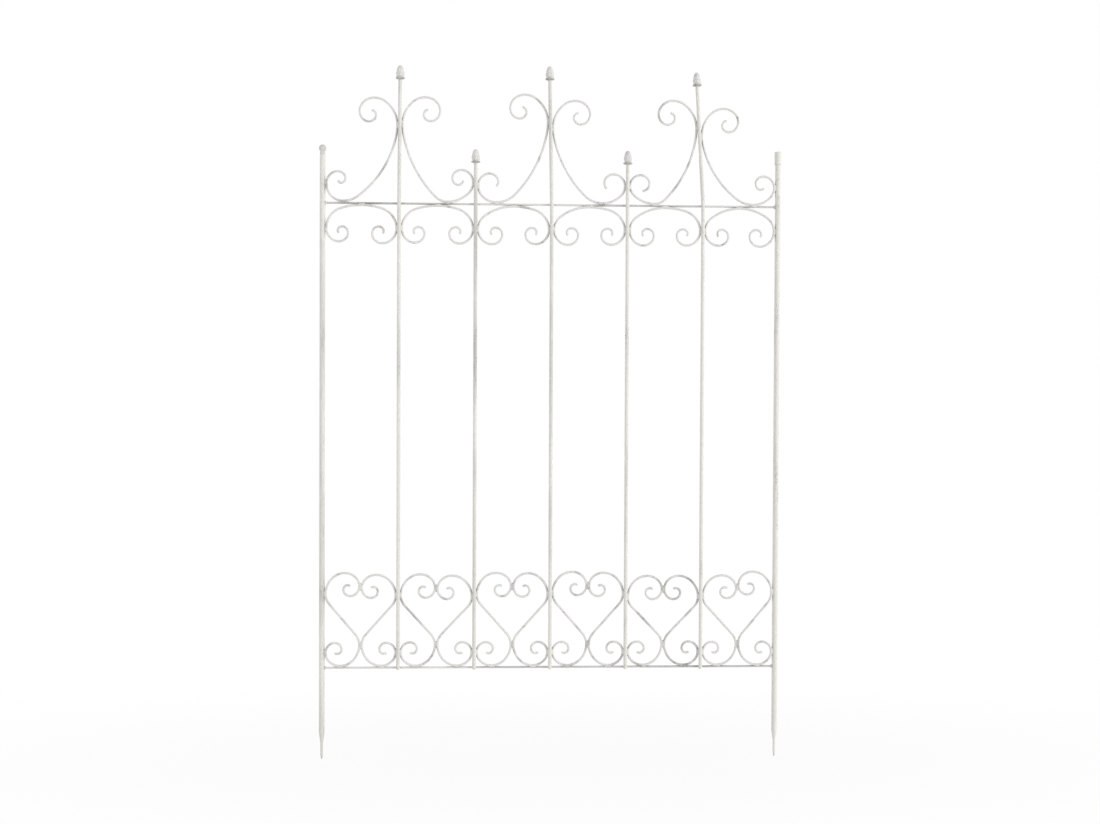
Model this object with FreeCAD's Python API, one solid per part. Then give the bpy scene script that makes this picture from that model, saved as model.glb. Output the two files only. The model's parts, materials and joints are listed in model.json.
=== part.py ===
import FreeCAD, Part
import math
import os

from FreeCAD import Vector

# A welded garden trellis panel, in millimetres. +Z is up, +X runs along the panel and the front faces -Y.
# The origin is midway between the two spike tips, in the plane of the scrolls.

# The panel
PANEL_WIDTH = 1000.0  # over both posts
BAY_COUNT = 6  # spaces between uprights
GROUND_LENGTH = 198.0  # spike tips to the middle of the bottom rail
RAIL_SPACING = 1005.0  # middle of the bottom rail to the middle of the top rail
POST_RISE = 102.0  # middle of the top rail to the end of a post's tube
SHORT_RISE = 89.0  # middle of the top rail to the seat of a short bar's finial
TALL_RISES = (267.0, 269.0, 260.0)  # the same for the tall bars, from left to right
TALL_LEANS = (-0.4, 1.1, 3.2)  # degrees that each tall bar is bent to the left above the top rail
LEAN_RADIUS = 120.0  # of that bend

# Tube, bars and wire
POST_D = 12.0
POST_WALL = 1.0
BAR_D = 8.0
RAIL_D = 4.5
WIRE_D = 5.0
WELD_GAP = 0.4  # left between rods that a weld joins

# Spike, swaged from the end of the tube
SPIKE_D = 5.5
SPIKE_LENGTH = 35.0  # tip to the start of the taper
SPIKE_TAPER = 22.0  # length of the taper up to the tube's full size
SPIKE_POINT = 8.0  # length of the pointed end
SPIKE_TIP_D = 1.6
SPIKE_CLOSED = 6.0  # closed metal above the start of the taper

# Ball cap in the left post
BALL_D = 16.0
BALL_RISE = 15.0  # end of the tube to the middle of the ball
BALL_NECK_D = 11.0
SPIGOT_LENGTH = 15.0

# Socket sleeve on the right post
SLEEVE_LENGTH = 28.0
SLEEVE_OVERLAP = 10.0  # length pushed over the tube
SLEEVE_WALL = 1.2
SLEEVE_EDGE = 0.4  # chamfer on the outer edges
SOCKET_CLEARANCE = 0.25  # added to the tube's radius above the overlap

# Finial, a bud in a cup on a flange, pushed over the end of a bar
FINIAL_SOCKET = 12.0  # depth of the hole for the bar
FLANGE_D = 20.0
FLANGE_HEIGHT = 3.2
NECK_WALL = 3.4  # metal between the hole and the neck
NECK_HEIGHT = 1.4
CUP_D = 18.0
CUP_HEIGHT = 8.0
CUP_RIM = 0.9  # step from the cup in to the bud
BUD_HEIGHT = 16.4
BUD_BULGE = 2.1  # how far the bud's side bows out from a straight cone
BUD_TIP_D = 5.0
BUD_TIP_HEIGHT = 0.8

# Scrolls are bent by hand, so their sizes differ a little, given here from left to right.
# Every curl is bent tighter by the same ratio at each eighth of a turn.
EIGHTH_TURN = 45.0
CURL_RATIO = 0.83

# Middle of the bottom rail to the wire at the top of each half of a heart
HEART_RISES = (206.0, 202.0, 203.0, 200.0, 206.0, 205.0, 208.0, 206.0, 199.0, 199.0, 200.0, 208.0)
HEART_WAIST = 0.6  # radius at the waist, as a share of the largest that fits
HEART_CURL = 11  # eighths of a turn in each curl

# Middle of the top rail to each crest scroll's weld on its bar
CREST_WELD_RISES = (168.0, 171.0, 180.0, 166.0, 173.0, 151.0)
CREST_HEAD_RISE = 58.0  # weld on the bar to the top of the scroll
CREST_HEAD_REACH = 49.0  # weld on the bar out to the top of the scroll
CREST_HEAD_FULLNESS = 0.82  # tighter radius of the head's first quarter, as a share of its reach
CREST_HEAD_CURL = 8
CREST_START_RADIUS = 120.0  # first bend below the weld
CREST_START_TURN = 10.0  # degrees in that bend
# The foot of each: the radii of the wire's bends before and after the rail and of its curl's first bend, as
# shares of a bay's width, then the ratio and the eighths of a turn of its curl
CREST_FEET = (
    (0.33, 0.21, 0.225, 0.78, 9),
    (0.22, 0.39, 0.200, 0.85, 9),
    (0.35, 0.25, 0.200, 0.84, 6),
    (0.33, 0.34, 0.180, 0.89, 6),
    (0.20, 0.39, 0.165, 0.90, 7),
    (0.38, 0.31, 0.188, 0.84, 8),
)

COLLAR_DROP = 54.0  # middle of the top rail down to the widest part of a collar
# Each half of a collar: the tighter radius of its shoulder, as a share of the drop below the weld
COLLAR_FULLNESSES = (0.9, 0.9, 0.9, 0.9, 0.72, 0.9, 0.72, 0.9, 0.72, 0.9, 0.72, 0.75)
COLLAR_CURL_RADII = (30.5, 34.0, 32.0, 33.0, 34.0, 33.0, 34.0, 33.0, 34.0, 33.0, 33.0, 34.5)
COLLAR_CURL = 9

# Weld beads
BEAD_LENGTH = 16.0
BEAD_D = 6.4
BEAD_TIP_D = 2.6
CROSSING_BEAD = 1.2  # how far the bead at a crossing stands out past the bar
END_BEAD = 2.0  # how far the bead at a rail's end stands out past the rail

# Derived levels and positions
pitch = (PANEL_WIDTH - POST_D) / BAY_COUNT
uprights = [(i - BAY_COUNT / 2) * pitch for i in range(BAY_COUNT + 1)]
bar_numbers = range(1, BAY_COUNT)
tall_bars = bar_numbers[::2]
bottom_z = GROUND_LENGTH
top_z = bottom_z + RAIL_SPACING
post_top = top_z + POST_RISE
bore_r = POST_D / 2 - POST_WALL

# The wire lies in the notch between the bars, in front, and the rails, behind, and touches both at one slant.
bar_contact = (BAR_D + WIRE_D) / 2 + WELD_GAP
rail_contact = (RAIL_D + WIRE_D) / 2 + WELD_GAP
post_contact = (POST_D + WIRE_D) / 2 + WELD_GAP
notch_slant = ((BAR_D + RAIL_D) / 2 + WELD_GAP) / (bar_contact + rail_contact)
bar_y = -bar_contact * notch_slant
frame_y = rail_contact * notch_slant
notch_spread = math.sqrt(1 - notch_slant**2)
bar_offset = bar_contact * notch_spread
rail_offset = rail_contact * notch_spread
post_offset = math.sqrt(post_contact**2 - frame_y**2)
mate_offset = (WIRE_D + WELD_GAP) / 2

UP = Vector(0, 0, 1)
ACROSS = Vector(1, 0, 0)
FULL_TURN = 360.0
QUARTER_TURN = 90.0
UPWARD = 90.0  # heading of a wire that runs up
DOWNWARD = -90.0


def is_post(index):
    """Whether an upright is one of the two posts."""
    return index in (0, BAY_COUNT)


def in_turn(values, number):
    """The value for the piece with that number, counted from 0; further pieces start the list again."""
    return values[number % len(values)]


def lean(index):
    """The angle in degrees that an upright leans to the left above the top rail."""
    return in_turn(TALL_LEANS, tall_bars.index(index)) if index in tall_bars else 0.0


def upright_point(index, z):
    """The point on an upright's axis at a height."""
    shift = max(z - top_z, 0.0) * math.tan(math.radians(lean(index)))
    return Vector(uprights[index] - shift, frame_y if is_post(index) else bar_y, z)


def wire_offset(index):
    """The distance along X from an upright's axis to a wire that is welded to its side."""
    return post_offset if is_post(index) else bar_offset


def revolved(edges):
    """The solid turned by a closed outline in the XZ plane about the Z axis."""
    outline = Part.Wire(edges)
    return Part.Face(outline).revolve(Vector(), UP, FULL_TURN)


def turned_outline(points):
    """The solid turned by straight lines through (radius, height) points, closed."""
    corners = [Vector(radius, 0, height) for radius, height in points]
    return revolved(Part.makePolygon(corners + corners[:1]).Edges)


def rod(start, end, diameter):
    """A straight round rod between two points."""
    return Part.makeCylinder(diameter / 2, start.distanceToPoint(end), start, end - start)


def direction(heading):
    """The unit vector of a heading in degrees, anticlockwise from +X as seen from the front."""
    return Vector(math.cos(math.radians(heading)), 0, math.sin(math.radians(heading)))


def upright_direction(index, z):
    """The direction of an upright's axis at a height."""
    return direction(UPWARD + lean(index)) if z > top_z else UP


def follow(start, heading, bends):
    """The arcs (start, middle, end) of a wire that leaves a point on a heading and takes the bends."""
    runs = []
    for radius, turn in bends:
        inward = heading + math.copysign(QUARTER_TURN, turn)
        centre = start + direction(inward) * radius
        middle = centre - direction(inward + turn / 2) * radius
        end = centre - direction(inward + turn) * radius
        runs.append((start, middle, end))
        start = end
        heading += turn
    return runs


def curl(radius, ratio, count, hand):
    """Bends of a curl that tightens at each eighth of a turn; hand is 1 to the left and -1 to the right."""
    return [(radius * ratio**step, hand * EIGHTH_TURN) for step in range(count)]


def two_bends(start, heading, end, turn, end_radius):
    """Two tangent bends (radius, turn) from one point to another, the second of a set radius."""
    side = math.copysign(QUARTER_TURN, turn)
    start_inward = direction(heading + side)
    end_centre = end + direction(heading + turn + side) * end_radius
    gap = start - end_centre
    start_radius = (end_radius**2 - gap.dot(gap)) / (2 * (gap.dot(start_inward) + end_radius))
    start_centre = start + start_inward * start_radius
    outward = (end_centre - start_centre) / (start_radius - end_radius)
    sine = start_inward.z * outward.x - start_inward.x * outward.z
    first_turn = math.degrees(math.atan2(sine, -start_inward.dot(outward)))
    return [(start_radius, first_turn), (end_radius, turn - first_turn)]


def backwards(runs):
    """The same runs from the other end."""
    return [tuple(reversed(run)) for run in reversed(runs)]


def mirrored(runs):
    """The runs mirrored left to right."""
    return [tuple(Vector(-p.x, p.y, p.z) for p in run) for run in runs]


def half_turned(runs, middle):
    """The runs turned by half a turn about a point."""
    return [tuple(middle * 2 - p for p in run) for run in runs]


def moved(runs, offset):
    """The runs moved by a vector."""
    return [tuple(p + offset for p in run) for run in runs]


def bent_rod(runs, diameter):
    """The rod swept along runs: an arc has three points, a straight has two."""
    edges = [Part.Arc(*run).toShape() if len(run) == 3 else Part.makeLine(*run) for run in runs]
    tangent = edges[0].tangentAt(edges[0].FirstParameter)
    section = Part.Wire(Part.makeCircle(diameter / 2, runs[0][0], tangent))
    return Part.Wire(edges).makePipeShell([section], True, False)


def heart_runs(outer, rise):
    """The right-hand S scroll of a heart, from the bay's middle and the bottom rail's middle.

    Both ends are the same curl, half a turn apart. The wire is welded to its mate, the upright and the rail.
    Returns the runs and the weld points on the upright, the mate and the rail.
    """
    # A curl that leaves upwards is at its top after two eighths of a turn and runs straight down after four.
    unit = follow(Vector(), UPWARD, curl(1.0, CURL_RATIO, HEART_CURL, 1))
    radius = (outer - mate_offset) / -unit[3][-1].x
    side = Vector(outer, 0, rise - radius * unit[1][-1].z)
    middle = Vector((outer + mate_offset) / 2, 0, (rise + rail_offset) / 2)
    reach = side - middle
    waist = HEART_WAIST * reach.Length**2 / (2 * reach.x)
    to_centre = Vector(reach.x - waist, 0, reach.z)
    slope = math.degrees(math.atan2(to_centre.z, to_centre.x) - math.asin(waist / to_centre.Length))
    start = middle + direction(slope) * math.sqrt(to_centre.Length**2 - waist**2)
    upper = follow(start, slope, [(waist, UPWARD - slope)] + curl(radius, CURL_RATIO, HEART_CURL, 1))
    lower = half_turned(upper, middle)
    runs = backwards(lower) + [(lower[0][0], upper[0][0])] + upper
    on_upright = [upper[0][-1], lower[4][-1]]
    on_mate = [upper[4][-1], lower[0][-1]]
    return runs, on_upright, on_mate, lower[2][-1]


def crest_runs(weld, slant, foot_shape, side_x):
    """The C scroll on the right of a tall bar, from the middle of the bar and of the top rail.

    It is welded to the bar, which leans to the left by the slant, to the rail and to the next upright, where
    its middle is at side_x. Returns the runs and the weld points on the rail and the next upright.
    """
    head_radius = CREST_HEAD_FULLNESS * CREST_HEAD_REACH
    head_top = Vector(CREST_HEAD_REACH, 0, CREST_HEAD_RISE)
    head_bends = two_bends(Vector(), UPWARD, head_top, -QUARTER_TURN, head_radius)
    head_bends += curl(head_radius * CURL_RATIO, CURL_RATIO, CREST_HEAD_CURL, -1)
    # The foot leaves the rail level and, two eighths of a turn on, runs straight up beside the next upright.
    sweep_share, heel_share, curl_share, ratio, eighths = foot_shape
    foot_bends = [(heel_share * pitch, EIGHTH_TURN)] + curl(curl_share * pitch, ratio, eighths, 1)
    foot_width = follow(Vector(), 0.0, foot_bends)[1][-1].x
    on_rail = Vector(side_x - foot_width, 0, rail_offset)
    sweep = [(CREST_START_RADIUS, CREST_START_TURN)]
    sweep_start = follow(weld, DOWNWARD + slant, sweep)[0][-1]
    sweep_heading = DOWNWARD + slant + CREST_START_TURN
    sweep += two_bends(sweep_start, sweep_heading, on_rail, -sweep_heading, sweep_share * pitch)
    head = follow(weld, UPWARD + slant, head_bends)
    tail = follow(weld, DOWNWARD + slant, sweep + foot_bends)
    return backwards(head) + tail, on_rail, tail[len(sweep) + 1][-1]


def collar_half(outer, fullness, curl_radius):
    """The right half of the C scroll under the top rail, from the middle of the bay and of the rail.

    It starts at the weld on the rail, and its second run ends at the weld on the upright.
    """
    crown = Vector(0, 0, -rail_offset)
    side = Vector(outer, 0, -COLLAR_DROP)
    bends = two_bends(crown, 0.0, side, -QUARTER_TURN, fullness * (COLLAR_DROP - rail_offset))
    bends += curl(curl_radius, CURL_RATIO, COLLAR_CURL, -1)
    return follow(crown, 0.0, bends)


def bead(middle, along):
    """A weld bead, thick in the middle, lying along a direction."""
    bottom = Vector(0, 0, -BEAD_LENGTH / 2)
    lower = Vector(BEAD_TIP_D / 2, 0, -BEAD_LENGTH / 2)
    belly = Vector(BEAD_D / 2, 0, 0)
    upper = Vector(BEAD_TIP_D / 2, 0, BEAD_LENGTH / 2)
    top = Vector(0, 0, BEAD_LENGTH / 2)
    side = Part.Arc(lower, belly, upper).toShape()
    ends = [Part.makeLine(upper, top), Part.makeLine(top, bottom), Part.makeLine(bottom, lower)]
    barrel = revolved([side] + ends)
    barrel.Placement = FreeCAD.Placement(middle, FreeCAD.Rotation(UP, along))
    return barrel


def wire_weld(wire_point, other_point, along, rods):
    """The bead where a wire passes another rod, shaped to both."""
    share = mate_offset / wire_point.distanceToPoint(other_point)
    middle = wire_point + (other_point - wire_point) * share
    metal = bead(middle, along)
    for shape in rods:
        metal = metal.cut(shape)
    return metal


def post(x):
    """A tube closed and drawn down to a spike at its lower end."""
    full = SPIKE_LENGTH + SPIKE_TAPER
    outline = [
        (0, 0),
        (SPIKE_TIP_D / 2, 0),
        (SPIKE_D / 2, SPIKE_POINT),
        (SPIKE_D / 2, SPIKE_LENGTH),
        (POST_D / 2, full),
        (POST_D / 2, post_top),
        (bore_r, post_top),
        (bore_r, full),
        (0, SPIKE_LENGTH + SPIKE_CLOSED),
    ]
    return turned_outline(outline).translated(Vector(x, frame_y, 0))


def ball_cap():
    """A ball on a neck, with a spigot that fills the end of the tube."""
    neck_r = BALL_NECK_D / 2
    neck_top = BALL_RISE - math.sqrt((BALL_D / 2) ** 2 - neck_r**2)
    corners = [
        Vector(0, 0, -SPIGOT_LENGTH),
        Vector(bore_r, 0, -SPIGOT_LENGTH),
        Vector(bore_r, 0, 0),
        Vector(neck_r, 0, 0),
        Vector(neck_r, 0, neck_top),
    ]
    top = Vector(0, 0, BALL_RISE + BALL_D / 2)
    edges = Part.makePolygon(corners).Edges
    edges.append(Part.Arc(corners[-1], Vector(BALL_D / 2, 0, BALL_RISE), top).toShape())
    edges.append(Part.makeLine(top, corners[0]))
    return revolved(edges).translated(upright_point(0, post_top))


def post_sleeve():
    """A short tube pushed over the end of the post, open above it as a socket."""
    tube_r = POST_D / 2
    outer_r = tube_r + SOCKET_CLEARANCE + SLEEVE_WALL
    outline = [
        (tube_r, 0),
        (outer_r - SLEEVE_EDGE, 0),
        (outer_r, SLEEVE_EDGE),
        (outer_r, SLEEVE_LENGTH - SLEEVE_EDGE),
        (outer_r - SLEEVE_EDGE, SLEEVE_LENGTH),
        (tube_r + SOCKET_CLEARANCE, SLEEVE_LENGTH),
        (tube_r + SOCKET_CLEARANCE, SLEEVE_OVERLAP),
        (tube_r, SLEEVE_OVERLAP),
    ]
    return turned_outline(outline).translated(upright_point(BAY_COUNT, post_top - SLEEVE_OVERLAP))


def finial(seat, along):
    """A flange, a cup and a pointed bud in line with a bar, with a blind hole for its end."""
    hole_r = BAR_D / 2
    neck_r = hole_r + NECK_WALL
    neck_z = FLANGE_HEIGHT + NECK_HEIGHT
    rim_z = neck_z + CUP_HEIGHT
    bud_r = CUP_D / 2 - CUP_RIM
    tip_z = rim_z + BUD_HEIGHT
    flange_low = Vector(FLANGE_D / 2 - FLANGE_HEIGHT / 2, 0, 0)
    flange_edge = Vector(FLANGE_D / 2, 0, FLANGE_HEIGHT / 2)
    flange_high = Vector(FLANGE_D / 2 - FLANGE_HEIGHT / 2, 0, FLANGE_HEIGHT)
    neck_low = Vector(neck_r, 0, FLANGE_HEIGHT)
    neck_high = Vector(neck_r, 0, neck_z)
    cup_side = Vector(CUP_D / 2 - CUP_RIM / 2, 0, neck_z + CUP_HEIGHT / 2)
    cup_rim = Vector(CUP_D / 2, 0, rim_z)
    bud_low = Vector(bud_r, 0, rim_z)
    bud_side = Vector((bud_r + BUD_TIP_D / 2) / 2 + BUD_BULGE, 0, rim_z + BUD_HEIGHT / 2)
    bud_high = Vector(BUD_TIP_D / 2, 0, tip_z - BUD_TIP_HEIGHT)
    tip = Vector(0, 0, tip_z)
    edges = [
        Part.Arc(flange_low, flange_edge, flange_high).toShape(),
        Part.makeLine(flange_high, neck_low),
        Part.makeLine(neck_low, neck_high),
        Part.Arc(neck_high, cup_side, cup_rim).toShape(),
        Part.makeLine(cup_rim, bud_low),
        Part.Arc(bud_low, bud_side, bud_high).toShape(),
        Part.makeLine(bud_high, tip),
    ]
    hole_end = Vector(0, 0, FINIAL_SOCKET)
    hole_corner = Vector(hole_r, 0, FINIAL_SOCKET)
    hole_mouth = Vector(hole_r, 0, 0)
    edges += Part.makePolygon([tip, hole_end, hole_corner, hole_mouth, flange_low]).Edges
    turned = revolved(edges)
    turned.Placement = FreeCAD.Placement(seat, FreeCAD.Rotation(UP, along))
    return turned


def bar_seat(index):
    """The point where the finial of a bar sits."""
    rise = in_turn(TALL_RISES, tall_bars.index(index)) if index in tall_bars else SHORT_RISE
    return upright_point(index, top_z + rise)


def upright_rod(index):
    """An upright's round as a plain rod: the whole of a bar, or the outside of a post."""
    if is_post(index):
        return rod(upright_point(index, 0), upright_point(index, post_top), POST_D)
    foot = upright_point(index, bottom_z - RAIL_D / 2)
    seat = bar_seat(index)
    end = seat + upright_direction(index, seat.z) * FINIAL_SOCKET
    if lean(index) == 0.0:
        return rod(foot, end, BAR_D)
    bend_drop = LEAN_RADIUS * math.tan(math.radians(abs(lean(index)) / 2))
    bend_start = upright_point(index, top_z - bend_drop)
    bend = follow(bend_start, UPWARD, [(LEAN_RADIUS, lean(index))])[0]
    return bent_rod([(foot, bend_start), bend, (bend[-1], end)], BAR_D)


rail_levels = {"bottom_rail": bottom_z, "top_rail": top_z}
upright_rods = [upright_rod(index) for index in range(BAY_COUNT + 1)]
rail_rods = {
    name: rod(upright_point(0, z), upright_point(BAY_COUNT, z), RAIL_D) for name, z in rail_levels.items()
}


def crossing_weld(index, name):
    """The round bead where a bar crosses in front of a rail."""
    bar_axis = upright_point(index, rail_levels[name])
    middle = bar_axis + Vector(0, (BAR_D + WELD_GAP) / 2, 0)
    return Part.makeSphere(BAR_D / 2 + CROSSING_BEAD, middle).cut([upright_rods[index], rail_rods[name]])


def rail_end_weld(index, name):
    """The bead round a rail's end where it meets a post."""
    toward_middle = math.copysign(POST_D / 2, -uprights[index])
    middle = upright_point(index, rail_levels[name]) + Vector(toward_middle, 0, 0)
    ball = Part.makeSphere(RAIL_D / 2 + END_BEAD, middle, ACROSS)
    return ball.cut([upright_rods[index], rail_rods[name]])


def upright_weld(index, wire_point, wire):
    """The bead where a wire is welded to the side of an upright."""
    upright = upright_point(index, wire_point.z)
    along = upright_direction(index, wire_point.z)
    return wire_weld(wire_point, upright, along, [wire, upright_rods[index]])


def rail_weld(name, wire_point, wire):
    """The bead where a wire is welded to a rail."""
    rail_point = Vector(wire_point.x, frame_y, rail_levels[name])
    return wire_weld(wire_point, rail_point, ACROSS, [wire, rail_rods[name]])


pieces = {}

# Frame, with the rails' ends cut to the round of the posts
pieces["left_post"] = post(uprights[0])
pieces["right_post"] = post(uprights[BAY_COUNT])
pieces["left_ball_cap"] = ball_cap()
pieces["right_post_sleeve"] = post_sleeve()
rail_end_welds = []
for name in rail_levels:
    pieces[name] = rail_rods[name].cut([upright_rods[0], upright_rods[BAY_COUNT]])
    rail_end_welds.append(rail_end_weld(0, name))
    rail_end_welds.append(rail_end_weld(BAY_COUNT, name))
pieces["rail_end_welds"] = Part.makeCompound(rail_end_welds)

# Bars and finials
bar_welds = []
for index in bar_numbers:
    pieces[f"bar_{index}"] = upright_rods[index]
    seat = bar_seat(index)
    pieces[f"finial_{index}"] = finial(seat, upright_direction(index, seat.z))
    for name in rail_levels:
        bar_welds.append(crossing_weld(index, name))
pieces["bar_welds"] = Part.makeCompound(bar_welds)

# Hearts and collars, bay by bay
heart_welds = []
collar_welds = []
for bay in range(BAY_COUNT):
    left_x = uprights[bay] + wire_offset(bay)
    right_x = uprights[bay + 1] - wire_offset(bay + 1)
    outer = (right_x - left_x) / 2
    on_bottom_rail = Vector((left_x + right_x) / 2, 0, bottom_z)
    on_top_rail = Vector((left_x + right_x) / 2, 0, top_z)

    halves = []
    mate_points = []
    collar_halves = []
    for hand, index, side in ((-1, bay, "left"), (1, bay + 1, "right")):
        half_number = 2 * bay + len(halves)
        fullness = in_turn(COLLAR_FULLNESSES, half_number)
        collar_halves.append(collar_half(outer, fullness, in_turn(COLLAR_CURL_RADII, half_number)))
        runs, on_upright, on_mate, on_rail = heart_runs(outer, in_turn(HEART_RISES, half_number))
        handed_runs = runs if hand > 0 else mirrored(runs)
        half = bent_rod(moved(handed_runs, on_bottom_rail), WIRE_D)
        pieces[f"heart_scroll_{bay + 1}_{side}"] = half
        for point in on_upright:
            place = on_bottom_rail + Vector(hand * point.x, 0, point.z)
            heart_welds.append(upright_weld(index, place, half))
        place = on_bottom_rail + Vector(hand * on_rail.x, 0, on_rail.z)
        heart_welds.append(rail_weld("bottom_rail", place, half))
        halves.append(half)
        mate_points.append([on_bottom_rail + Vector(hand * point.x, 0, point.z) for point in on_mate])
    for left_point, right_point in zip(*mate_points):
        heart_welds.append(wire_weld(left_point, right_point, UP, halves))

    left_half = moved(mirrored(collar_halves[0]), on_top_rail)
    right_half = moved(collar_halves[1], on_top_rail)
    collar = bent_rod(backwards(left_half) + right_half, WIRE_D)
    pieces[f"collar_scroll_{bay + 1}"] = collar
    collar_welds.append(rail_weld("top_rail", right_half[0][0], collar))
    collar_welds.append(upright_weld(bay, left_half[1][-1], collar))
    collar_welds.append(upright_weld(bay + 1, right_half[1][-1], collar))
pieces["heart_welds"] = Part.makeCompound(heart_welds)
pieces["collar_welds"] = Part.makeCompound(collar_welds)

# Crest scrolls, one on each side of each tall bar
crest_welds = []
crest_number = 0
for index in tall_bars:
    for hand, next_index, side in ((-1, index - 1, "left"), (1, index + 1, "right")):
        rise = in_turn(CREST_WELD_RISES, crest_number)
        foot_shape = in_turn(CREST_FEET, crest_number)
        crest_number += 1
        slant = hand * lean(index)
        on_axis = Vector(-rise * math.tan(math.radians(slant)), 0, rise)
        on_bar = on_axis + direction(slant) * wire_offset(index)
        runs, on_rail, on_next = crest_runs(on_bar, slant, foot_shape, pitch - wire_offset(next_index))
        start = Vector(uprights[index], 0, top_z)
        handed_runs = runs if hand > 0 else mirrored(runs)
        crest = bent_rod(moved(handed_runs, start), WIRE_D)
        pieces[f"crest_scroll_{index}_{side}"] = crest
        places = [start + Vector(hand * point.x, 0, point.z) for point in (on_bar, on_rail, on_next)]
        crest_welds.append(upright_weld(index, places[0], crest))
        crest_welds.append(rail_weld("top_rail", places[1], crest))
        crest_welds.append(upright_weld(next_index, places[2], crest))
pieces["crest_welds"] = Part.makeCompound(crest_welds)

os.makedirs("parts", exist_ok=True)
for name, shape in pieces.items():
    shape.exportStep(f"parts/{name}.step")
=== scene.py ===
import json
import math
from typing import NamedTuple

import bmesh
import bpy
import numpy as np
from mathutils import Matrix, Vector, noise


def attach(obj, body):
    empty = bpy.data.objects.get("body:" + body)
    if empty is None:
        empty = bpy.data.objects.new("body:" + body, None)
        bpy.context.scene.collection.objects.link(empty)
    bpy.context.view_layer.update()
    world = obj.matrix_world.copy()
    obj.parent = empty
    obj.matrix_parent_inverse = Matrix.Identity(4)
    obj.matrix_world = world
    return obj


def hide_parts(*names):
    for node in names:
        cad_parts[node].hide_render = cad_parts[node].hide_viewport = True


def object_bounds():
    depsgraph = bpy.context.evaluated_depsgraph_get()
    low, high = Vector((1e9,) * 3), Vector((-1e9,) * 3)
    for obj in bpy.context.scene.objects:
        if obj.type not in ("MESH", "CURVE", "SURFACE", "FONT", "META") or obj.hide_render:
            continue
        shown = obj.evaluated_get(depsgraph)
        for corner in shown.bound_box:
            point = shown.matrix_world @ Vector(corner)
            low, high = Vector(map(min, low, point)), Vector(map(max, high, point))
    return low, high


# The looks of a welded garden trellis panel, in metres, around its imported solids

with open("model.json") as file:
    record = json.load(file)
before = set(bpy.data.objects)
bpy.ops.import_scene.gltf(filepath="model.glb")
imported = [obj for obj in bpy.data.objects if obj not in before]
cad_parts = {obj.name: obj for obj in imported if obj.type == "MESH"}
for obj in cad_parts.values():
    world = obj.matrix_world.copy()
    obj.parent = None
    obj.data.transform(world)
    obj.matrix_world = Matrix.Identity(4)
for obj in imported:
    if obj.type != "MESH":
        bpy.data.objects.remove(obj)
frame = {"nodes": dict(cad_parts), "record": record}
cad_low, cad_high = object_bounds()
nodes = frame["nodes"]
MM = 0.001
UP = Vector((0, 0, 1))

# Camera, as the photograph was taken: nearly square on, a little from the left and from above
PHOTO_WIDTH_PX = 1100
FOCAL_PX = 1381
SENSOR_WIDTH = 36.0
CAMERA_AZIMUTH = math.radians(-2.41)
CAMERA_ELEVATION = math.radians(0.94)
CAMERA_ROLL = math.radians(0.25)
CAMERA_DISTANCE = 3.0
CAMERA_TARGET = Vector((-0.0018, 0, 0.754))

# Floor, which glows a little less than white by the object and full white from the end of its fade
FLOOR_SIZE = 40.0
FLOOR_DROP = 0.2 * MM
FLOOR_COLOUR = (0.93, 0.93, 0.92, 1)
FLOOR_GLOW = 0.88
FLOOR_FADE = (0.0, 0.9)
FLOOR_STRETCH = (0.4, 1, 1)

# Soft light from all round, and the lamps with their place, size and watts
WHITE = (1, 1, 1, 1)
WORLD_COLOUR = (1.0, 0.995, 0.985, 1)
WORLD_LIGHT = 0.51
LAMPS = {
    "key_light": ((7.65, -4.4, 2.5), (3.8, 5.5), 400),
    "fill_light": ((-2.8, -1.7, 1.0), (1.4, 2.2), 20),
    "back_light": ((-0.4, 3.4, 1.2), (2.4, 2.0), 38),
}

# Top coats, a darker colour for the finials' flanges, undercoat, a dark wash that is also used as painted
# shade in the hollows, and iron
CREAM_PAINT = (0.85, 0.838, 0.793, 1)
GREY_PAINT = (0.835, 0.825, 0.81, 1)
FLANGE_PAINT = (0.62, 0.61, 0.585, 1)
UNDERCOAT = (0.38, 0.37, 0.36, 1)
DARK_WASH_AND_SHADE = (0.26, 0.25, 0.23, 1)
IRON = (0.11, 0.10, 0.09, 1)

# Patterns in the paint, from broad to fine: a noise's scale, detail, roughness and distortion
REGIONS = (5, 1, 0.5)
PATCHES = (28, 4, 0.5, 0.4)
RAGGED = (190, 4, 0.65, 0.5)
BRUSHED = (220, 1, 0.5)
FLECKS = (520, 3, 0.6)
STREAKS = (900, 3, 0.5)

# Wear: shares of the patterns in its level, and the levels between which paint is rubbed off or bared
REGION_SHARE = 0.1
PATCH_SHARE = 0.88
RAGGED_SHARE = 0.22
RUBBED_BAND = (0.62, 0.77)
BARED_BAND = (0.80, 0.85)
WEAR_SHIFT = 0.12

# Chips down to the iron, where flecks and wear come together
FLECK_SHARE = 0.7
WORN_SHARE = 0.5
CHIPPED_BAND = (0.83, 0.85)
CHIP_SHIFT = 0.06

# Darkening in the hollows, part dark wash and part painted shade, and streaks where the top coat is thin
HOLLOW_REACH = 9 * MM
HOLLOW_SAMPLES = 12
HOLLOW_BAND = (0.92, 0.35)
WASH_AND_SHADE_BAND = (0.2, 0.6)
STREAK_BAND = (0.42, 0.72)
STREAK_SHARE = 0.2

# Surface of the paint: its shine and its relief
ROUGHNESS = 0.58
ROUGHNESS_RUBBED = 0.2
SPECULAR = 0.3
BUMP_STRENGTH = 0.25
BUMP_DISTANCE = 0.3 * MM
STREAK_HEIGHT = 0.5
BRUSHED_HEIGHT = 1.0
BARED_HEIGHT = -0.15
CHIPPED_HEIGHT = -0.5

# Stretch of the patterns along upright and level pieces
UPRIGHT_GRAIN = (1, 1, 0.15)
LEVEL_GRAIN = (0.15, 1, 1)
NO_GRAIN = (1, 1, 1)
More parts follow.
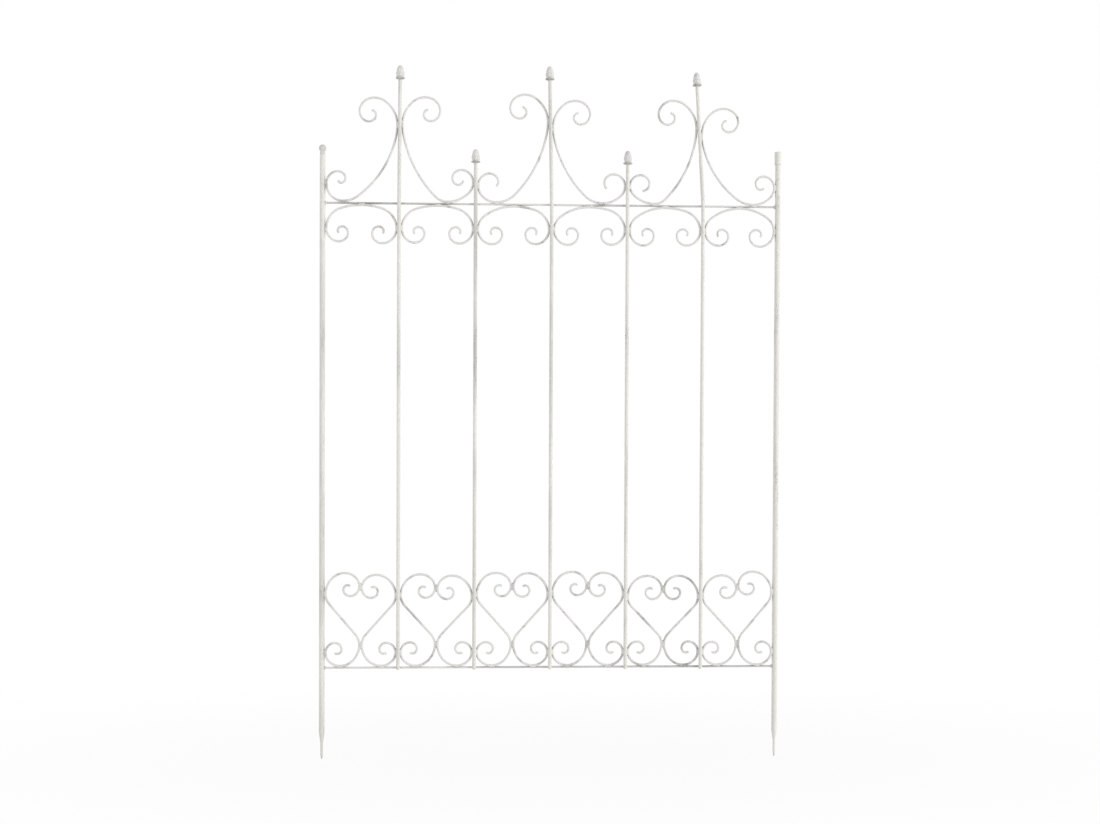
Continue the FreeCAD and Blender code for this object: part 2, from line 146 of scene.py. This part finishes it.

# Pieces that the photograph shows darker or paler than the rest, partly for more or less wear and partly as
# painted light, most of the paler ones towards the key lamp on the right
TONE_STEP = 0.7
DARKER_PIECES = (
    "bar_2",
    "heart_scroll_5_right",
    "left_ball_cap",
    "left_post",
)
PALER_PIECES = (
    "bar_4",
    "bar_5",
    "collar_scroll_2",
    "collar_scroll_3",
    "collar_scroll_4",
    "collar_scroll_5",
    "collar_scroll_6",
    "crest_scroll_1_right",
    "crest_scroll_3_left",
    "crest_scroll_3_right",
    "crest_scroll_5_right",
    "heart_scroll_1_right",
    "heart_scroll_2_right",
    "heart_scroll_3_left",
    "heart_scroll_6_left",
    "right_post",
    "right_post_sleeve",
)

# Finials, in millimetres from the seat on the bar; the neck is in heights and radii
FINIAL_COUNT = 5
FINIAL_HEIGHT = 29.0
FINIAL_STEPS = 96
SEAT_RADII = (4.2, 7.0)
FLANGE_R = 10.0
FLANGE_HEIGHT = 3.2
FLANGE_STEPS = 8
LEAF_LOW = 4.6
NECK = ((3.4, 7.8), (3.8, 7.0), (LEAF_LOW, 6.8))
BUD_R = 8.3
BUD_MIDDLE = 12.5
BUD_FOOT = -1.0
BUD_TIP_R = 0.2
BUD_STEPS = 44

# Leaves round the lower half of a bud, in millimetres or in shares of a leaf's half width
LEAF_COUNT = 8
LEAF_NOTCH = 9.4
LEAF_TIP = 13.4
LEAF_POINT = 1.5
LEAF_STAND = 0.85
LEAF_RISE = 2.2
LEAF_FLATNESS = 0.45
LEAF_EDGE_ABOVE = 0.5
LEAF_EDGE_BELOW = 0.3
RIB_DEPTH = 0.28
RIB_WIDTH = 0.09
GAP_DEPTH = 0.5
GAP_WIDTH = 0.12
GAP_RISE = 1.5

# Petals round its upper half, which fade out where it gets narrow
PETAL_COUNT = 6
PETAL_TWIST = 0.9
PETAL_SWELL = 0.25
PETAL_FADE_R = 4.0
GROOVE_DEPTH = 0.55
GROOVE_WIDTH = 0.11
GROOVE_FADE_R = 3.0

# Weld beads along the scrolls and lumps at the rails
SAME_PLACE = 1e-6
BEAD_STEPS = (33, 14)
BEAD_TIP_SHARE = 0.4
BEAD_END_SHARE = 0.2
BEAD_ROUGHNESS = 0.35 * MM
BEAD_GRAIN = 420
RIPPLE_PITCH = 1.6 * MM
RIPPLE_HEIGHT = 0.2 * MM
LUMP_STEPS = (18, 24)
LUMP_POLE = math.radians(88)
LUMP_ROUGHNESS = 0.09
LUMP_GRAIN = 520

# Sockets of a mix node that carry colours
MIX_FIRST = 6
MIX_SECOND = 7
MIX_RESULT = 2


class Look(NamedTuple):
    """One paint: its top coat, the stretch of its patterns, and its state.

    wear and depth are how much of the paint is rubbed and how far; chips is the share of bare iron,
    and the last value the share of the darkening in the hollows, part dark wash and part painted shade.
    """

    top: tuple
    grain: tuple
    wear: float
    depth: float
    chips: float
    wash_and_shade: float


PAINTS = {
    "post_paint": Look(CREAM_PAINT, UPRIGHT_GRAIN, wear=0.5, depth=0.2, chips=0.5, wash_and_shade=0.9),
    "bar_paint": Look(CREAM_PAINT, UPRIGHT_GRAIN, wear=0.6, depth=0.25, chips=0.6, wash_and_shade=0.9),
    # Rails are rubbed more and deeper than the bars, partly for wear and partly as painted shade on level
    # pieces
    "rail_paint": Look(GREY_PAINT, LEVEL_GRAIN, wear=0.9, depth=0.46, chips=0.6, wash_and_shade=0.9),
    "wire_paint": Look(GREY_PAINT, NO_GRAIN, wear=0.4, depth=0.48, chips=0.6, wash_and_shade=0.9),
    "casting_paint": Look(GREY_PAINT, NO_GRAIN, wear=0.1, depth=0.25, chips=0.2, wash_and_shade=0.5),
    # The finials' flange rings are painted darker than their buds
    "flange_paint": Look(FLANGE_PAINT, NO_GRAIN, wear=1.6, depth=0.4, chips=1.0, wash_and_shade=1.0),
    "weld_paint": Look(CREAM_PAINT, NO_GRAIN, wear=0.9, depth=0.4, chips=0.8, wash_and_shade=1.0),
}


class Shader:
    """The node tree of a material or of the world, built up node by node."""

    def __init__(self, owner):
        owner.use_nodes = True
        self.tree = owner.node_tree
        self.tree.nodes.clear()

    def add(self, kind, inputs=None, **settings):
        """Adds a node, sets its properties, and sets or links each input, given by name or number."""
        node = self.tree.nodes.new(kind)
        for name, value in settings.items():
            setattr(node, name, value)
        for name, value in (inputs or {}).items():
            if isinstance(value, bpy.types.NodeSocket):
                self.tree.links.new(value, node.inputs[name])
            else:
                node.inputs[name].default_value = value
        return node

    def maths(self, operation, first, second, clamp=False):
        """The result of an operation on two values."""
        node = self.add("ShaderNodeMath", {0: first, 1: second}, operation=operation, use_clamp=clamp)
        return node.outputs[0]

    def total(self, *shares):
        """The sum of values that are each given with a weight."""
        weighted = [self.maths("MULTIPLY", value, weight) for value, weight in shares]
        result = weighted[0]
        for value in weighted[1:]:
            result = self.maths("ADD", result, value)
        return result

    def smooth(self, value, low, high):
        """A smooth step of a value from 0 at low to 1 at high."""
        inputs = {"Value": value, "From Min": low, "From Max": high}
        return self.add("ShaderNodeMapRange", inputs, interpolation_type="SMOOTHSTEP").outputs[0]

    def mix(self, factor, first, second):
        """A mix of two colours."""
        inputs = {"Factor": factor, MIX_FIRST: first, MIX_SECOND: second}
        return self.add("ShaderNodeMix", inputs, data_type="RGBA").outputs[MIX_RESULT]

    def mix_surfaces(self, factor, first, second):
        """A mix of two shader nodes."""
        inputs = {0: factor, 1: first.outputs[0], 2: second.outputs[0]}
        return self.add("ShaderNodeMixShader", inputs)

    def noise(self, vector, scale, detail, roughness, distortion=0.0):
        """The strength of a noise at each place."""
        inputs = {
            "Vector": vector,
            "Scale": scale,
            "Detail": detail,
            "Roughness": roughness,
            "Distortion": distortion,
        }
        return self.add("ShaderNodeTexNoise", inputs).outputs[0]

    def stretched(self, vector, scale):
        """Places with each axis multiplied by its scale."""
        return self.add("ShaderNodeMapping", {"Vector": vector, "Scale": scale}).outputs[0]

    def seen(self):
        """1 for what the camera sees directly, in a reflection or through glass, and 0 for light."""
        path = self.add("ShaderNodeLightPath").outputs
        direct = self.maths("MAXIMUM", path["Is Camera Ray"], path["Is Glossy Ray"])
        return self.maths("MAXIMUM", direct, path["Is Transmission Ray"])


def shifted(band, shift):
    """A band of levels, both ends lowered."""
    return [level - shift for level in band]


def antique_paint(name, look):
    """Pale paint, brushed on thin and rubbed, over a grey undercoat and dark iron."""
    material = bpy.data.materials.new(name)
    shader = Shader(material)
    place = shader.add("ShaderNodeTexCoord").outputs["Object"]
    along = shader.stretched(place, look.grain)
    ragged = shader.noise(along, *RAGGED)
    streaks = shader.noise(along, *STREAKS)

    wear_level = shader.total(
        (shader.noise(place, *REGIONS), REGION_SHARE),
        (shader.noise(along, *PATCHES), PATCH_SHARE),
        (ragged, RAGGED_SHARE),
    )
    rubbed = shader.smooth(wear_level, *shifted(RUBBED_BAND, WEAR_SHIFT * look.wear))
    bared = shader.smooth(wear_level, *shifted(BARED_BAND, WEAR_SHIFT * look.wear))
    chip_level = shader.total((shader.noise(place, *FLECKS), FLECK_SHARE), (wear_level, WORN_SHARE))
    chipped = shader.smooth(chip_level, *shifted(CHIPPED_BAND, CHIP_SHIFT * look.chips))

    # Painted shade: where ambient occlusion finds a hollow, the colour is darkened towards the dark wash,
    # partly a real wash and partly the shade that falls there
    occlusion = shader.add("ShaderNodeAmbientOcclusion", {"Distance": HOLLOW_REACH}, samples=HOLLOW_SAMPLES)
    hollow = shader.smooth(occlusion.outputs["AO"], *HOLLOW_BAND)
    wash_and_shade_mask = shader.maths("MULTIPLY", hollow, shader.smooth(ragged, *WASH_AND_SHADE_BAND))
    wash_and_shade_mask = shader.maths("MULTIPLY", wash_and_shade_mask, look.wash_and_shade, clamp=True)

    thin = shader.maths("MULTIPLY", shader.smooth(streaks, *STREAK_BAND), STREAK_SHARE)
    colour = shader.mix(thin, look.top, UNDERCOAT)
    colour = shader.mix(shader.maths("MULTIPLY", rubbed, look.depth), colour, UNDERCOAT)
    colour = shader.mix(shader.maths("MULTIPLY", bared, look.depth), colour, DARK_WASH_AND_SHADE)
    # Hollows darkened: part dark wash, part painted shade
    colour = shader.mix(wash_and_shade_mask, colour, DARK_WASH_AND_SHADE)
    colour = shader.mix(chipped, colour, IRON)

    height = shader.total(
        (streaks, STREAK_HEIGHT),
        (shader.noise(along, *BRUSHED), BRUSHED_HEIGHT),
        (bared, BARED_HEIGHT),
        (chipped, CHIPPED_HEIGHT),
    )
    relief = {"Strength": BUMP_STRENGTH, "Distance": BUMP_DISTANCE, "Height": height}
    surface = shader.add(
        "ShaderNodeBsdfPrincipled",
        {
            "Base Color": colour,
            "Roughness": shader.maths("ADD", shader.maths("MULTIPLY", rubbed, ROUGHNESS_RUBBED), ROUGHNESS),
            "Specular IOR Level": SPECULAR,
            "Normal": shader.add("ShaderNodeBump", relief).outputs[0],
        },
    )
    shader.add("ShaderNodeOutputMaterial", {"Surface": surface.outputs[0]})
    return material


def piece_paint(piece, slot):
    """The paint of a CAD piece: its slot's, or one with more or less wear that also paints in light and
    shade.
    """
    # Rails take the darker rail paint, part wear and part painted shade
    name = "rail_paint" if piece.endswith("_rail") else slot
    # Painted light and shade: the listed pieces are rubbed more or less, partly for their wear and partly
    # to make those towards the key lamp paler and those away from it darker
    step = TONE_STEP * ((piece in DARKER_PIECES) - (piece in PALER_PIECES))
    if step == 0:
        return paints[name]
    varied = f"{name}_{'more' if step > 0 else 'less'}_worn_and_shaded"
    if varied not in paints:
        look = PAINTS[name]
        paints[varied] = antique_paint(varied, look._replace(wear=look.wear + step))
    return paints[varied]


def paint_cad():
    """Puts paint on the CAD pieces."""
    for subpart in frame["record"]["subparts"]:
        materials = nodes[subpart["node"]].data.materials
        materials.clear()
        materials.append(piece_paint(subpart["node"], subpart["material_slot"]))


def smoothstep(value, low, high):
    """A smooth step of a value from 0 at low to 1 at high."""
    share = min(max((value - low) / (high - low), 0.0), 1.0)
    return share * share * (3 - 2 * share)


def bell(value, width):
    """1 where a value is 0, and less to both sides of it."""
    return math.exp(-((value / width) ** 2))


def circle(count):
    """The angles of even steps round a circle."""
    return [math.tau * step / count for step in range(count)]


def grid_piece(name, stacks, slot, *replaced):
    """Closed skins, each through a stack of rings with a face at both ends, that stand for CAD nodes."""
    mesh = bpy.data.meshes.new(name)
    points = []
    faces = []
    for stack in stacks:
        start = len(points)
        around = len(stack[0])
        for ring in stack:
            points.extend(ring)
        for row in range(len(stack) - 1):
            for step in range(around):
                low = start + row * around + step
                low_next = start + row * around + (step + 1) % around
                faces.append((low, low_next, low_next + around, low + around))
        last = start + (len(stack) - 1) * around
        faces.append(tuple(reversed(range(start, start + around))))
        faces.append(tuple(range(last, last + around)))
    mesh.from_pydata(points, [], faces)
    mesh.polygons.foreach_set("use_smooth", [True] * len(mesh.polygons))
    mesh.materials.append(paints[slot])
    piece = bpy.data.objects.new(name, mesh)
    bpy.context.collection.objects.link(piece)
    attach(piece, "root")
    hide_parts(*replaced)
    return piece


def turned_axis(node):
    """The tip of a turned casting, and its axis from the middle of its surface to the tip."""
    mesh = node.data
    tip = max((vertex.co for vertex in mesh.vertices), key=lambda place: place.z).copy()
    area = sum(face.area for face in mesh.polygons)
    middle = sum((face.center * face.area for face in mesh.polygons), Vector()) / area
    return tip, (tip - middle).normalized()


def finial_profile():
    """Heights and radii up a finial's plain turned shape, in millimetres."""
    edge = FLANGE_HEIGHT / 2
    profile = [(0.0, radius) for radius in SEAT_RADII]
    for step in range(FLANGE_STEPS + 1):
        angle = math.pi * (step / FLANGE_STEPS - 0.5)
        profile.append((edge + edge * math.sin(angle), FLANGE_R - edge + edge * math.cos(angle)))
    profile += NECK
    for step in range(1, BUD_STEPS + 1):
        height = LEAF_LOW + (FINIAL_HEIGHT - LEAF_LOW) * math.sin(math.pi / 2 * step / BUD_STEPS)
        end = FINIAL_HEIGHT if height > BUD_MIDDLE else BUD_FOOT
        share = (height - BUD_MIDDLE) / (end - BUD_MIDDLE)
        profile.append((height, max(BUD_R * math.sqrt(1 - share * share), BUD_TIP_R)))
    return profile


def carved_radius(height, radius, angle):
    """The radius of a finial with its leaves and petals carved in, in millimetres."""
    if height <= LEAF_LOW:
        return radius
    # From -1 to 1 across one leaf
    across = 2 * ((angle * LEAF_COUNT / math.tau) % 1.0) - 1
    leaf_edge = LEAF_NOTCH + (LEAF_TIP - LEAF_NOTCH) * (1 - abs(across) ** LEAF_POINT)
    on_leaf = smoothstep(height, leaf_edge + LEAF_EDGE_ABOVE, leaf_edge - LEAF_EDGE_BELOW)
    arch = LEAF_FLATNESS + (1 - LEAF_FLATNESS) * math.cos(across * math.pi / 2)
    leaf = LEAF_STAND * arch - RIB_DEPTH * bell(across, RIB_WIDTH)
    leaf *= smoothstep(height, LEAF_LOW, LEAF_LOW + LEAF_RISE)
    gap = GAP_DEPTH * bell(1 - abs(across), GAP_WIDTH) * smoothstep(height, LEAF_LOW, LEAF_LOW + GAP_RISE)
    # From -0.5 to 0.5 across the groove between two petals
    share = (height - LEAF_LOW) / (FINIAL_HEIGHT - LEAF_LOW)
    across = ((angle * PETAL_COUNT / math.tau + PETAL_TWIST * share) % 1.0) - 0.5
    groove = GROOVE_DEPTH * bell(across, GROOVE_WIDTH) * min(radius / GROOVE_FADE_R, 1.0)
    swell = PETAL_SWELL * (math.cos(across * math.tau) - 1) * min(radius / PETAL_FADE_R, 1.0)
    return radius + on_leaf * (leaf - gap) + (1 - on_leaf) * (swell - groove)


def add_finials():
    """A carved bud with pointed leaves on each bar, each turned its own way."""
    for number in range(1, FINIAL_COUNT + 1):
        name = f"finial_{number}"
        tip, along = turned_axis(nodes[name])
        turn = UP.rotation_difference(along).to_matrix()
        seat = tip - along * FINIAL_HEIGHT * MM
        rings = []
        for height, radius in finial_profile():
            ring = []
            for angle in circle(FINIAL_STEPS):
                reach = carved_radius(height, radius, angle + number)
                local = Vector((reach * math.cos(angle), reach * math.sin(angle), height)) * MM
                ring.append(seat + turn @ local)
            rings.append(ring)
        piece = grid_piece(f"carved_{name}", [rings], "casting_paint", name)
        piece.data.materials.append(paints["flange_paint"])
        # Faces of the flange ring get the darker flange colour
        for face in piece.data.polygons:
            if (face.center - seat).dot(along) < FLANGE_HEIGHT * MM:
                face.material_index = 1


def islands(node):
    """The points of each separate solid in a node."""
    solids = bmesh.new()
    solids.from_mesh(node.data)
    bmesh.ops.remove_doubles(solids, verts=solids.verts, dist=SAME_PLACE)
    seen = set()
    groups = []
    for first in solids.verts:
        if first in seen:
            continue
        seen.add(first)
        waiting = [first]
        group = []
        while waiting:
            vertex = waiting.pop()
            group.append(tuple(vertex.co))
            for edge in vertex.link_edges:
                other = edge.other_vert(vertex)
                if other not in seen:
                    seen.add(other)
                    waiting.append(other)
        groups.append(np.array(group))
    solids.free()
    return groups


def rippled_bead(points):
    """Rings of a weld bead, thick in the middle and rippled, in the place of a plain one."""
    middle = (points.min(axis=0) + points.max(axis=0)) / 2
    along = np.linalg.svd(points - points.mean(axis=0), full_matrices=False)[2][0]
    reach = (points - middle) @ along
    half = (reach.max() - reach.min()) / 2
    belly = np.linalg.norm((points - middle) - np.outer(reach, along), axis=1).max()
    turn = UP.rotation_difference(Vector(along)).to_matrix()
    rows, around = BEAD_STEPS
    rings = []
    for row in range(rows):
        share = 2 * row / (rows - 1) - 1
        place = Vector(middle) + turn @ Vector((0, 0, share * half))
        fullness = BEAD_TIP_SHARE + (1 - BEAD_TIP_SHARE) * (1 - share * share)
        if abs(share) == 1:
            fullness = BEAD_END_SHARE
        ripple = RIPPLE_HEIGHT * abs(math.sin(math.pi * share * half / RIPPLE_PITCH))
        ring = []
        for angle in circle(around):
            outward = turn @ Vector((math.cos(angle), math.sin(angle), 0))
            rough = BEAD_ROUGHNESS * noise.noise((place + outward * belly) * BEAD_GRAIN)
            ring.append(place + outward * (belly * fullness - ripple + rough))
        rings.append(ring)
    return rings


def lump(points):
    """Rings of a rough ball of weld metal that fills the box of a plain one."""
    low = points.min(axis=0)
    high = points.max(axis=0)
    middle = Vector((low + high) / 2)
    half = Vector((high - low) / 2)
    rows, around = LUMP_STEPS
    rings = []
    for row in range(rows):
        rise = LUMP_POLE * (2 * row / (rows - 1) - 1)
        level = math.cos(rise)
        ring = []
        for angle in circle(around):
            side = Vector((level * math.cos(angle), level * math.sin(angle), math.sin(rise)))
            rough = LUMP_ROUGHNESS * (noise.noise((middle + side * half.z) * LUMP_GRAIN) - 1)
            ring.append(middle + side * half * (1 + rough))
        rings.append(ring)
    return rings


def add_welds():
    """Rippled beads along the scrolls and rough lumps at the rails, as deposited."""
    for name in ("heart_welds", "collar_welds", "crest_welds"):
        beads = [rippled_bead(points) for points in islands(nodes[name])]
        grid_piece(f"rippled_{name}", beads, "weld_paint", name)
    for name in ("bar_welds", "rail_end_welds"):
        lumps = [lump(points) for points in islands(nodes[name])]
        grid_piece(f"rough_{name}", lumps, "weld_paint", name)


def add_camera():
    """The camera at the photograph's place and angle."""
    level = math.cos(CAMERA_ELEVATION)
    back = Vector(
        (math.sin(CAMERA_AZIMUTH) * level, -math.cos(CAMERA_AZIMUTH) * level, math.sin(CAMERA_ELEVATION))
    )
    facing = back.to_track_quat("Z", "Y").to_matrix().to_4x4()
    data = bpy.data.cameras.new("camera")
    data.sensor_width = SENSOR_WIDTH
    data.lens = SENSOR_WIDTH * FOCAL_PX / PHOTO_WIDTH_PX
    camera = bpy.data.objects.new("camera", data)
    place = Matrix.Translation(CAMERA_TARGET + back * CAMERA_DISTANCE)
    camera.matrix_world = place @ facing @ Matrix.Rotation(CAMERA_ROLL, 4, "Z")
    bpy.context.collection.objects.link(camera)
    bpy.context.scene.camera = camera


def add_world():
    """Soft light from all round, and a white background."""
    world = bpy.data.worlds.new("studio")
    shader = Shader(world)
    light = shader.add("ShaderNodeBackground", {"Color": WORLD_COLOUR, "Strength": WORLD_LIGHT})
    backdrop = shader.add("ShaderNodeBackground", {"Color": WHITE, "Strength": 1.0})
    mixed = shader.mix_surfaces(shader.seen(), light, backdrop)
    shader.add("ShaderNodeOutputWorld", {"Surface": mixed.outputs[0]})
    bpy.context.scene.world = world


def add_floor():
    """A pale floor that keeps the shadow near the object and fades into the white background."""
    mesh = bpy.data.meshes.new("floor")
    half = FLOOR_SIZE / 2
    corners = [(-half, -half, 0), (half, -half, 0), (half, half, 0), (-half, half, 0)]
    mesh.from_pydata(corners, [], [(0, 1, 2, 3)])
    floor = bpy.data.objects.new("floor", mesh)
    floor.location.z = cad_low.z - FLOOR_DROP
    bpy.context.collection.objects.link(floor)
    material = bpy.data.materials.new("floor")
    shader = Shader(material)
    place = shader.stretched(shader.add("ShaderNodeTexCoord").outputs["Object"], FLOOR_STRETCH)
    reach = shader.add("ShaderNodeVectorMath", {0: place}, operation="LENGTH").outputs["Value"]
    far = shader.smooth(reach, *FLOOR_FADE)
    glow = shader.maths("ADD", shader.maths("MULTIPLY", far, 1 - FLOOR_GLOW), FLOOR_GLOW)
    glow = shader.maths("MULTIPLY", glow, shader.seen())
    matt = shader.add("ShaderNodeBsdfDiffuse", {"Color": FLOOR_COLOUR})
    white = shader.add("ShaderNodeEmission", {"Color": WHITE, "Strength": 1.0})
    mixed = shader.mix_surfaces(glow, matt, white)
    shader.add("ShaderNodeOutputMaterial", {"Surface": mixed.outputs[0]})
    mesh.materials.append(material)


def add_lamp(name, place, size, power):
    """A rectangular lamp aimed at the middle of the panel."""
    data = bpy.data.lights.new(name, "AREA")
    data.shape = "RECTANGLE"
    data.size, data.size_y = size
    data.energy = power
    lamp = bpy.data.objects.new(name, data)
    lamp.location = place
    lamp.rotation_mode = "QUATERNION"
    lamp.rotation_quaternion = (Vector(place) - CAMERA_TARGET).to_track_quat("Z", "Y")
    bpy.context.collection.objects.link(lamp)


paints = {name: antique_paint(name, look) for name, look in PAINTS.items()}
paint_cad()
add_finials()
add_welds()
add_camera()
add_world()
add_floor()
for lamp_name, lamp in LAMPS.items():
    add_lamp(lamp_name, *lamp)

bpy.context.scene.view_settings.view_transform = "Standard"
